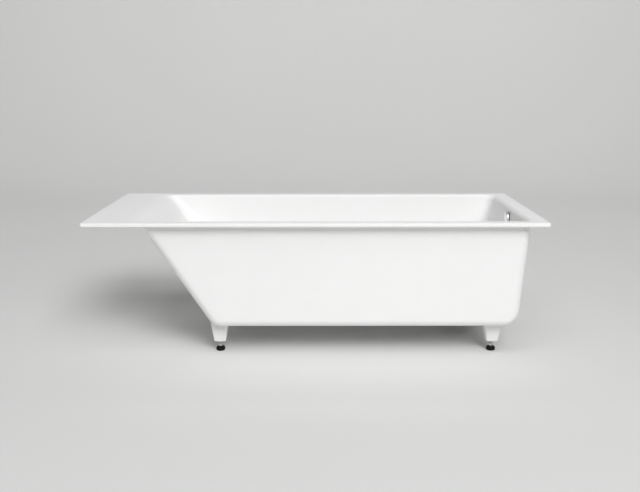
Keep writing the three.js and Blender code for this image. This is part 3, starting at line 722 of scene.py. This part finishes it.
FLANGE_RADIUS = 35
FLANGE_THICKNESS = 2.5
FLANGE_UNDER = FLANGE_TOP - FLANGE_THICKNESS
TAIL_RADIUS = 23
TAIL_BORE = 20
TAIL_BOTTOM = 104
BAR = (112, 118)
BAR_HALF_WIDTH = 1.6
BAR_START = 8
BOSS = (110, 120)
BOSS_BORE = 5.5
BOSS_RADIUS = 9
CARTRIDGE_BOTTOM = 104
CARTRIDGE_TOP = 131
CARTRIDGE_BORE = 3.3
STEM_RADIUS = 3
STEM_BOTTOM = 114
SEAL_LOW = FLANGE_TOP + CLEAR
SEAL_HEIGHT = 2
PLUG_UNDER = FLANGE_TOP + 1.3
PLUG_THICKNESS = 5
PLUG_RADIUS = 29
SEAL_GROOVE = (21.7, 26.3)
GASKET_BORE = 26
TRAP_TOP = UNDERSIDE - 3.3
DIP_SEAL_TOP = TRAP_TOP - 5
DIP_TOP = TRAP_TOP - 7.7
DIP_BORE = 20
DIP_COLLAR = (28.3, 31)


def around_drain(name, low, high, turns):
    """Copies of a block, made on the +X side and turned about the drain by some degrees."""
    blocks = []
    for turn in turns:
        copy = block(name, low, high)
        copy.data.transform(Matrix.Translation(Vector(DRAIN) * MM)
                            @ Matrix.Rotation(math.radians(turn), 4, "Z"))
        blocks.append(copy)
    return blocks


def flange():
    """The drain's dished rim and threaded tail, with four bars that carry a boss."""
    section = [(TAIL_BORE, TAIL_BOTTOM), (TAIL_RADIUS, TAIL_BOTTOM), (TAIL_RADIUS, FLANGE_UNDER),
               (FLANGE_RADIUS, FLANGE_UNDER), (FLANGE_RADIUS, FLANGE_TOP - 1.2),
               (33.5, FLANGE_TOP), (27, FLANGE_TOP), (24.5, FLANGE_TOP - 0.5),
               (21.6, FLANGE_TOP - 1.4), (TAIL_BORE, FLANGE_TOP - 3.2)]
    body = turned("flange", section, DRAIN, soft=0.5)
    bars = around_drain("spoke", (BAR_START, -BAR_HALF_WIDTH, BAR[0]),
                        (TAIL_BORE + 1, BAR_HALF_WIDTH, BAR[1]), [0, 90, 180, 270])
    boss = turned("boss", ring(BOSS_BORE, BOSS_RADIUS, *BOSS), DRAIN, facets=SMALL_FACETS)
    join(body, *bars, boss)
    finish(body, CHROME, "chrome", "tub", "waste_flange")


def cartridge():
    """The click mechanism's closed barrel, screwed into the boss."""
    shank, shoulder, inside = BOSS_BORE - CLEAR, BOSS[1] + CLEAR, CARTRIDGE_BOTTOM + 4
    section = [(0, CARTRIDGE_BOTTOM), (shank, CARTRIDGE_BOTTOM), (shank, shoulder), (8, shoulder),
               (8, CARTRIDGE_TOP - 1.4), (6.8, CARTRIDGE_TOP), (CARTRIDGE_BORE, CARTRIDGE_TOP),
               (CARTRIDGE_BORE, inside), (0, inside)]
    body = turned("cartridge", section, DRAIN, soft=0.4, flutes=(24, 0.4, 7.5))
    finish(body, BRASS, "brass", "tub", "click_cartridge")


def plug():
    """The stem, the domed cap with its hub and seal groove, and the seal."""
    stem = turned("plug_rod", ring(0, STEM_RADIUS, STEM_BOTTOM, PLUG_UNDER - 2), DRAIN,
                  facets=SMALL_FACETS, soft=0.6)
    finish(stem, ZINC, "steel", "plug", "plug_stem")
    top = PLUG_UNDER + PLUG_THICKNESS
    hub, socket = CARTRIDGE_TOP + 3, PLUG_UNDER - 1.5
    groove, (inner, outer) = SEAL_LOW + SEAL_HEIGHT + CLEAR, SEAL_GROOVE
    section = [(STEM_RADIUS + CLEAR, hub), (7, hub), (7, PLUG_UNDER), (inner, PLUG_UNDER),
               (inner, groove), (outer, groove), (outer, PLUG_UNDER), (PLUG_RADIUS, PLUG_UNDER),
               (PLUG_RADIUS, top - 2), (28.2, top - 1.1), (26, top - 0.55), (21, top - 0.2),
               (14, top - 0.05), (0, top), (0, socket), (STEM_RADIUS + CLEAR, socket)]
    cap = turned("plug_disc", section, DRAIN, facets=FINE_FACETS, soft=0.5)
    finish(cap, CHROME, "chrome", "plug", "plug_cap")
    seal = turned("plug_ring", ring(inner + CLEAR, outer - CLEAR, SEAL_LOW, SEAL_LOW + SEAL_HEIGHT),
                  DRAIN, soft=0.8)
    finish(seal, RUBBER, "rubber", "plug", "plug_seal")


def drain_gaskets():
    under = FLANGE_UNDER - CLEAR
    for name, section, soft, node in (
            ("upper_gasket", ring(GASKET_BORE, FLANGE_RADIUS, under - 1.5, under), 0.5,
             "waste_upper_gasket"),
            ("lower_gasket", ring(GASKET_BORE, 42, TRAP_TOP + CLEAR, UNDERSIDE - 0.1), 0.8,
             "waste_lower_gasket"),
            ("cup_seal", ring(43.5, 47.7, 55.3, 57.7), 1, "trap_cup_seal"),
            ("dip_seal", ring(*DIP_COLLAR, DIP_TOP + CLEAR, DIP_SEAL_TOP), 0.8, "dip_tube_seal")):
        finish(turned(name, section, DRAIN, soft=soft), RUBBER, "rubber", "tub", node)


PIPE = 15
PIPE_WALL = 2
PIPE_SOCKET = PIPE + CLEAR
SOCKET_WALL = 3
PIPE_NUT = 22
OUTLET_NUT = 27
RIDGE_PITCH = 3
INLET_START = 31
INLET_LENGTH = 78
INLET_OVERLAP = 26
OUTLET_PIPE = 20
OUTLET_SOCKET = OUTLET_PIPE + CLEAR
OUTLET_START = 35
OUTLET_LENGTH = 78
OUTLET_OVERLAP = 18
OUTLET_END = 250
CHAMBER_RADIUS = 48
CHAMBER_WALL = 3
CHAMBER_BOTTOM = 58
TRAP_PLATE = TRAP_TOP - 4.7


def ridge(outer, height):
    """One ridge of a coarse thread, as points of a section."""
    return [(outer - 0.9, height), (outer, height + 1.1), (outer, height + 1.7)]


def socket_section(bore, low, end, thread_from):
    """A tube from low to end, with coarse thread ridges from thread_from on."""
    outer = bore + SOCKET_WALL
    section = [(0, low), (outer - 0.2, low)]
    height = thread_from
    while height < end - RIDGE_PITCH:
        section += ridge(outer, height)
        height += RIDGE_PITCH
    return section + [(outer - 0.9, end - 0.8), (outer - 0.9, end), (0, end)]


def trap_body():
    """The trap's chamber, open below, with its inlet and outlet sockets and four ribs."""
    tail, inside = TAIL_RADIUS + CLEAR, CHAMBER_RADIUS - CHAMBER_WALL
    section = [(inside, CHAMBER_BOTTOM), (CHAMBER_RADIUS, CHAMBER_BOTTOM),
               (CHAMBER_RADIUS, TRAP_TOP - 0.2), (CHAMBER_RADIUS - 0.4, TRAP_TOP),
               (tail, TRAP_TOP), (tail, TAIL_BOTTOM), (28, TAIL_BOTTOM), (28, TRAP_PLATE),
               (inside, TRAP_PLATE)]
    body = turned("trap_chamber", section, DRAIN)
    at_inlet, at_outlet = (DRAIN_X, 0, INLET_Z), (DRAIN_X, 0, OUTLET_Z)
    inlet = turned("inlet", socket_section(PIPE_SOCKET, 34, INLET_LENGTH, 64), at_inlet, "X",
                   soft=0.3)
    outlet = turned("outlet", socket_section(OUTLET_SOCKET, 46, OUTLET_LENGTH, 62), at_outlet,
                    "Y", soft=0.3)
    join(body, inlet, outlet)
    cut(body,
        rod("inlet_bore", PIPE_SOCKET, INLET_START, INLET_LENGTH + 2, at_inlet, "X"),
        rod("outlet_bore", OUTLET_SOCKET, OUTLET_START, OUTLET_LENGTH + 2, at_outlet, "Y"))
    join(body, *around_drain("rib", (CHAMBER_RADIUS - 1, -1, 70),
                             (CHAMBER_RADIUS + 2.4, 1, TRAP_TOP - 3), [45, 135, 225, 315]))
    finish(body, PLASTIC, "white_plastic", "tub", "trap_body")


def trap_cup():
    """The bowl screwed round the foot of the chamber."""
    section = [(0, 36), (34, 36), (39.5, 37), (44, 38.8), (48.5, 42), (50.6, 45), (51.5, 49),
               (51.5, 65), (48.3, 65), (48.3, 55), (43, 55), (43, 46), (41.5, 42.2), (37, 39),
               (0, 39)]
    cup = turned("trap_bowl", section, DRAIN, facets=120, soft=0.8, flutes=(20, 1.1, 50.9))
    finish(cup, PLASTIC, "white_plastic", "tub", "trap_cup")


def dip_tube():
    """A funnel that leads the water down into the cup, with a side hole for the overflow."""
    outer, (seal, collar) = DIP_BORE + PIPE_WALL, DIP_COLLAR
    section = [(DIP_BORE, 46), (outer, 46), (outer, 70), (collar, 76), (collar, DIP_TOP),
               (seal, DIP_TOP), (seal, 78), (DIP_BORE, 72)]
    tube = turned("dip_pipe", section, DRAIN)
    cut(tube, rod("dip_hole", PIPE - PIPE_WALL, 20, 50, (DRAIN_X, 0, INLET_Z), "X", SMALL_FACETS))
    finish(tube, PLASTIC, "white_plastic", "tub", "trap_dip_tube")


def slip_nut(name, pipe, radius, at, axis, way, nodes):
    """A nut and its wedge ring on a socket that ends at `at` and opens along way * axis."""
    bore = pipe + CLEAR
    socket = bore + SOCKET_WALL
    overlap, lip, face = 14, 6, 10
    nut = [(socket + CLEAR, -overlap), (radius, -overlap), (radius, lip - 0.5), (radius - 0.5, 8),
           (radius - 2.2, face - 0.4), (bore + 1, face), (bore, face - 0.6), (bore, lip),
           (socket + CLEAR, lip)]
    wedge = [(bore, CLEAR), (socket, CLEAR), (bore + 1.5, lip - CLEAR), (bore, lip - CLEAR)]
    sections = [[(r, h * way) for r, h in s] for s in (nut, wedge)]
    body = turned(name + "_nut", sections[0], at, axis, FINE_FACETS, 0.6, (12, 1.3, radius - 0.9))
    finish(body, PLASTIC, "white_plastic", "tub", nodes[0])
    packing = turned(name + "_ring", sections[1], at, axis, SMALL_FACETS, 0.5)
    finish(packing, RUBBER, "rubber", "tub", nodes[1])


def pipe_run(name, outer, low, high, at, axis, node):
    tube = turned(name, ring(outer - PIPE_WALL, outer, low, high), at, axis, soft=0.6)
    finish(tube, PLASTIC, "white_plastic", "tub", node)


def drain():
    flange()
    cartridge()
    plug()
    drain_gaskets()
    trap_body()
    trap_cup()
    dip_tube()
    slip_nut("trap_outlet", OUTLET_PIPE, OUTLET_NUT, (DRAIN_X, OUTLET_LENGTH, OUTLET_Z), "Y", 1,
             ("outlet_nut", "outlet_wedge_ring"))
    pipe_run("trap_outlet_pipe", OUTLET_PIPE, OUTLET_LENGTH - OUTLET_OVERLAP, OUTLET_END,
             (DRAIN_X, 0, OUTLET_Z), "Y", "outlet_pipe")


# ---- overflow -----------------------------------------------------------------

COVER_FRONT = box_mm("overflow_cover")[0].x
COVER_SKIRT = box_mm("overflow_cover")[1].x
COVER_RADIUS = 28
COVER_BORE = 26.4
RING_BORE = 9
RING_RADIUS = 26
RING_FRONT = 776.8
RING_BACK = 780.6
NECK_X = 785
NECK_RADIUS = 22
NECK_BORE = 19
BACKING_X = 797.8
BACKING_RADIUS = 33
BACKING_THICKNESS = 4
HOUSING_RADIUS = 28
HOUSING_BORE = 25
BACK_X = 829
SCREW_Y = 14
SCREW_RADIUS = 2.5
SCREW_HEAD = 4.2
SCREW_END = 799
SCREW_HOLE = SCREW_RADIUS + CLEAR
LUG_RADIUS = 5
UPPER_SOCKET_END = 423
BEND_RADIUS = 36
ELBOW_SOCKET = 22
PIPE_OVERLAP = 16


def overflow_cover():
    """A slightly domed cap, with a slot at the bottom of its skirt that lets the water in."""
    low, high = COVER_FRONT, COVER_SKIRT
    inside = low + 1.6
    section = [(0, low), (22, low + 0.15), (25.2, low + 0.6), (27.1, low + 1.6),
               (COVER_RADIUS, low + 3.4), (COVER_RADIUS, high), (COVER_BORE, high),
               (COVER_BORE, inside + 2), (COVER_BORE - 2, inside), (0, inside)]
    cap = turned("overflow_cap", section, OVERFLOW, "X", FINE_FACETS, 0.35)
    slot_top = OVERFLOW_Z - 24
    cut(cap, block("slot", (low + 4.5, -14, slot_top - 7), (high + 2, 14, slot_top)))
    finish(cap, CHROME, "chrome", "tub", "overflow_cover")


def overflow_ring():
    """The clamping ring, with two countersunk cross-head screws."""
    plate = turned("overflow_plate", ring(RING_BORE, RING_RADIUS, RING_FRONT, RING_BACK), OVERFLOW,
                   "X", soft=0.5)
    head, shank = RING_FRONT + 0.4, RING_BACK - 0.4
    before, after = head - 3, shank + 5
    seat = [(0, before), (SCREW_HEAD + CLEAR, before), (SCREW_HEAD + CLEAR, head + 1.3),
            (SCREW_HOLE, shank + CLEAR), (SCREW_HOLE, after), (0, after)]
    section = [(0, head), (3.6, head), (SCREW_HEAD, head + 1), (SCREW_RADIUS, shank),
               (SCREW_RADIUS, shank + 1)]
    section += [(SCREW_RADIUS - 0.5 * (k % 2), shank + 1 + k) for k in range(1, 17)]
    section += [(1.5, SCREW_END), (0, SCREW_END)]
    for end, y in (("front", -SCREW_Y), ("back", SCREW_Y)):
        at = (0, y, OVERFLOW_Z)
        cut(plate, turned("seat", seat, at, "X", SMALL_FACETS, 0))
        screw = turned("overflow_bolt_" + end, section, at, "X", SMALL_FACETS, 0.2)
        for across, up in ((0.45, 2.4), (2.4, 0.45)):
            cut(screw, block("cross", (head - 1, y - across, OVERFLOW_Z - up),
                             (head + 1.6, y + across, OVERFLOW_Z + up)))
        finish(screw, ZINC, "steel", "tub", "overflow_screw_" + end)
    finish(plate, CHROME, "chrome", "tub", "overflow_ring")


def wedge_gasket(name, inner, outer, wall_side, flat_side, node):
    """A ring whose one face is flat and whose other face follows the leaning wall."""
    wall = Wall(*wall_side)
    centre = wall.distance(OVERFLOW_Z)
    body = turned(name, ring(inner, outer, *sorted((centre, flat_side))), OVERFLOW, "X", soft=0.6)
    for vertex in body.data.vertices:
        share = (vertex.co.x / MM - flat_side) / (centre - flat_side)
        lean = wall.distance(vertex.co.z / MM) - centre
        vertex.co.x += share * lean * MM
    finish(body, RUBBER, "rubber", "tub", node)


def overflow_body():
    """The housing behind the wall: a neck, a round backing, a chamber and a socket below."""
    behind = BACKING_X + BACKING_THICKNESS
    section = [(0, NECK_X), (NECK_RADIUS, NECK_X), (NECK_RADIUS, BACKING_X),
               (BACKING_RADIUS, BACKING_X), (BACKING_RADIUS, behind), (HOUSING_RADIUS, behind),
               (HOUSING_RADIUS, BACK_X - 8), (26.5, BACK_X - 4), (23, BACK_X - 1), (18, BACK_X),
               (0, BACK_X)]
    form = turned("overflow_housing", section, OVERFLOW, "X", FINE_FACETS, 0.6)
    outer = PIPE_SOCKET + SOCKET_WALL
    drop_section = [(0, UPPER_SOCKET_END), (outer - 0.9, UPPER_SOCKET_END)]
    for k in range(5):
        drop_section += ridge(outer, UPPER_SOCKET_END + 1 + RIDGE_PITCH * k)
    drop_section += [(outer, OVERFLOW_Z), (0, OVERFLOW_Z)]
    join(form, turned("drop", drop_section, (PIPE_X, 0, 0), soft=0.3))
    mouth, inside = NECK_X - 1, BACK_X - 3
    hollow = [(0, mouth), (NECK_BORE, mouth), (NECK_BORE, BACKING_X + 3),
              (HOUSING_BORE, BACKING_X + 6), (HOUSING_BORE, BACK_X - 6), (21, inside), (0, inside)]
    cut(form, turned("hollow", hollow, OVERFLOW, "X", soft=0),
        rod("drop_bore", PIPE_SOCKET, UPPER_SOCKET_END - 1, OVERFLOW_Z, (PIPE_X, 0, 0)))
    for side in (-1, 1):
        join(form, rod("lug", LUG_RADIUS, NECK_X + 1, BACKING_X,
                       (0, side * (SCREW_Y + 1.2), OVERFLOW_Z), "X", SMALL_FACETS))
        cut(form, rod("screw_hole", SCREW_HOLE, NECK_X - 3, BACKING_X + 3,
                      (0, side * SCREW_Y, OVERFLOW_Z), "X", SMALL_FACETS))
    finish(form, PLASTIC, "white_plastic", "tub", "overflow_body")


def elbow_path(along):
    """A point and direction on the bend: down, round a quarter, and level towards -X."""
    top = INLET_Z + BEND_RADIUS + ELBOW_SOCKET
    quarter = BEND_RADIUS * math.pi / 2
    if along < ELBOW_SOCKET:
        return Vector((PIPE_X, 0, top - along)), Vector((0, 0, -1))
    if along < ELBOW_SOCKET + quarter:
        angle = (along - ELBOW_SOCKET) / BEND_RADIUS
        centre = Vector((PIPE_X - BEND_RADIUS, 0, INLET_Z + BEND_RADIUS))
        spoke = Vector((math.cos(angle), 0, -math.sin(angle)))
        return centre + BEND_RADIUS * spoke, Vector((-math.sin(angle), 0, -math.cos(angle)))
    run = along - ELBOW_SOCKET - quarter
    return Vector((PIPE_X - BEND_RADIUS - run, 0, INLET_Z)), Vector((-1, 0, 0))


def elbow():
    """A quarter bend with a socket at each end."""
    bore, inner = PIPE_SOCKET, PIPE - PIPE_WALL
    socket, waist = bore + SOCKET_WALL, PIPE + 1.6
    whole = 2 * ELBOW_SOCKET + BEND_RADIUS * math.pi / 2
    depth = ELBOW_SOCKET - 2
    section = [(bore, 0), (socket - 0.8, 0), (socket, 1.2), (socket, ELBOW_SOCKET - 3),
               (waist, ELBOW_SOCKET + 1), (waist, whole - ELBOW_SOCKET - 1),
               (socket, whole - ELBOW_SOCKET + 3), (socket, whole - 1.2), (socket - 0.8, whole),
               (bore, whole), (bore, whole - depth), (inner, whole - depth), (inner, depth),
               (bore, depth)]
    form = bent("overflow_bend", section, elbow_path)
    finish(form, PLASTIC, "white_plastic", "tub", "overflow_elbow")


def overflow():
    overflow_cover()
    overflow_ring()
    wedge_gasket("outer_gasket", 25, BACKING_RADIUS, (OUTER, "right"), BACKING_X - 0.1,
                 "overflow_outer_gasket")
    wedge_gasket("inner_gasket", 24.5, RING_RADIUS, (INNER, "right"), RING_BACK + CLEAR,
                 "overflow_inner_gasket")
    overflow_body()
    elbow()
    elbow_top = INLET_Z + BEND_RADIUS + ELBOW_SOCKET
    elbow_end = PIPE_X - BEND_RADIUS - ELBOW_SOCKET
    slip_nut("overflow_top", PIPE, PIPE_NUT, (PIPE_X, 0, UPPER_SOCKET_END), "Z", -1,
             ("overflow_top_nut", "overflow_top_wedge_ring"))
    slip_nut("overflow_bend", PIPE, PIPE_NUT, (PIPE_X, 0, elbow_top), "Z", 1,
             ("overflow_elbow_nut", "overflow_elbow_wedge_ring"))
    slip_nut("overflow_link", PIPE, PIPE_NUT, (elbow_end, 0, INLET_Z), "X", -1,
             ("overflow_link_nut", "overflow_link_wedge_ring"))
    slip_nut("trap_inlet", PIPE, PIPE_NUT, (DRAIN_X + INLET_LENGTH, 0, INLET_Z), "X", 1,
             ("trap_inlet_nut", "trap_inlet_wedge_ring"))
    pipe_run("overflow_drop_pipe", PIPE, elbow_top - PIPE_OVERLAP, OVERFLOW_Z - HOUSING_RADIUS,
             (PIPE_X, 0, 0), "Z", "overflow_pipe")
    pipe_run("overflow_level_pipe", PIPE, DRAIN_X + INLET_LENGTH - INLET_OVERLAP,
             elbow_end + PIPE_OVERLAP, (0, 0, INLET_Z), "X", "overflow_link_pipe")


# ---- studio -------------------------------------------------------------------


def studio_surface():
    """Pale matt studio paper."""
    nodes = Nodes("studio_paper")
    cloud = nodes.noise(0.7, 2)
    nodes.link(nodes.ramp(cloud, (0.3, (0.765, 0.765, 0.760)), (0.7, (0.775, 0.775, 0.770))),
               "Base Color")
    nodes.link(nodes.between(nodes.noise(40, 3), 0.75, 0.85), "Roughness")
    nodes.set(Specular_IOR_Level=0.2)
    return nodes.material


def sweep():
    """Floor and back wall in one curved sheet, in metres."""
    half_width, front, back, height, bend, steps = 9.0, -7.0, 6.0, 6.0, 2.5, 12
    profile = [(front, 0.0), (back - bend, 0.0)]
    for k in range(1, steps + 1):
        angle = math.pi / 2 * k / steps
        profile.append((back - bend + bend * math.sin(angle), bend * (1 - math.cos(angle))))
    profile.append((back, height))
    vertices = [(x / MM, y / MM, z / MM) for y, z in profile for x in (-half_width, half_width)]
    faces = [[2 * k, 2 * k + 1, 2 * k + 3, 2 * k + 2] for k in range(len(profile) - 1)]
    sheet = object_from("studio_sweep", vertices, faces)
    sheet.data.materials.append(studio_surface())
    sheet.data.shade_smooth()


def area_light(name, place, target, size, power):
    """A white rectangular light; place, target and size are in metres, power in watts."""
    data = bpy.data.lights.new(name, "AREA")
    data.shape = "RECTANGLE"
    data.size, data.size_y = size
    data.energy = power
    light = bpy.data.objects.new(name, data)
    light.location = place
    aim = Vector(target) - Vector(place)
    light.rotation_euler = aim.to_track_quat("-Z", "Y").to_euler()
    bpy.context.scene.collection.objects.link(light)


def world_light(strength):
    world = bpy.data.worlds.new("studio_air")
    world.use_nodes = True
    background = world.node_tree.nodes["Background"]
    background.inputs["Color"].default_value = (1, 1, 1, 1)
    background.inputs["Strength"].default_value = strength
    bpy.context.scene.world = world


SENSOR_WIDTH = 36
LENS = 45.025
EYE = (0.0089, -3.2090, 1.0536)   # metres
TILT_DOWN = 12.080                # degrees
PAN_RIGHT = 0.148


def camera():
    data = bpy.data.cameras.new("view")
    data.sensor_width = SENSOR_WIDTH
    data.lens = LENS
    data.clip_end = 100
    eye = bpy.data.objects.new("view", data)
    eye.location = EYE
    eye.rotation_euler = (math.radians(90 - TILT_DOWN), 0, math.radians(-PAN_RIGHT))
    bpy.context.scene.collection.objects.link(eye)
    bpy.context.scene.camera = eye


def studio():
    sweep()
    world_light(0.01)
    area_light("key", (3.05, -8.95, 7.5), (0, 0, 0.3), (5.4, 4.6), 925)
    area_light("overhead", (0, -3, 6), (0, -0.5, 0), (6, 3), 152)
    area_light("left_fill", (-9, -2, 1.7), (0, 0, 0.3), (5, 2.6), 55)
    area_light("front_fill", (0, -9, 1.6), (0, 0, 0.3), (14, 3), 6)
    area_light("backdrop_light", (-0.5, 2.4, 4.4), (-0.5, 5.6, 0.3), (16, 1.6), 100)
    camera()
    bpy.context.scene.view_settings.view_transform = "Standard"


# ---- everything ---------------------------------------------------------------

shell()
feet()
drain()
overflow()
studio()

bpy.context.view_layer.update()
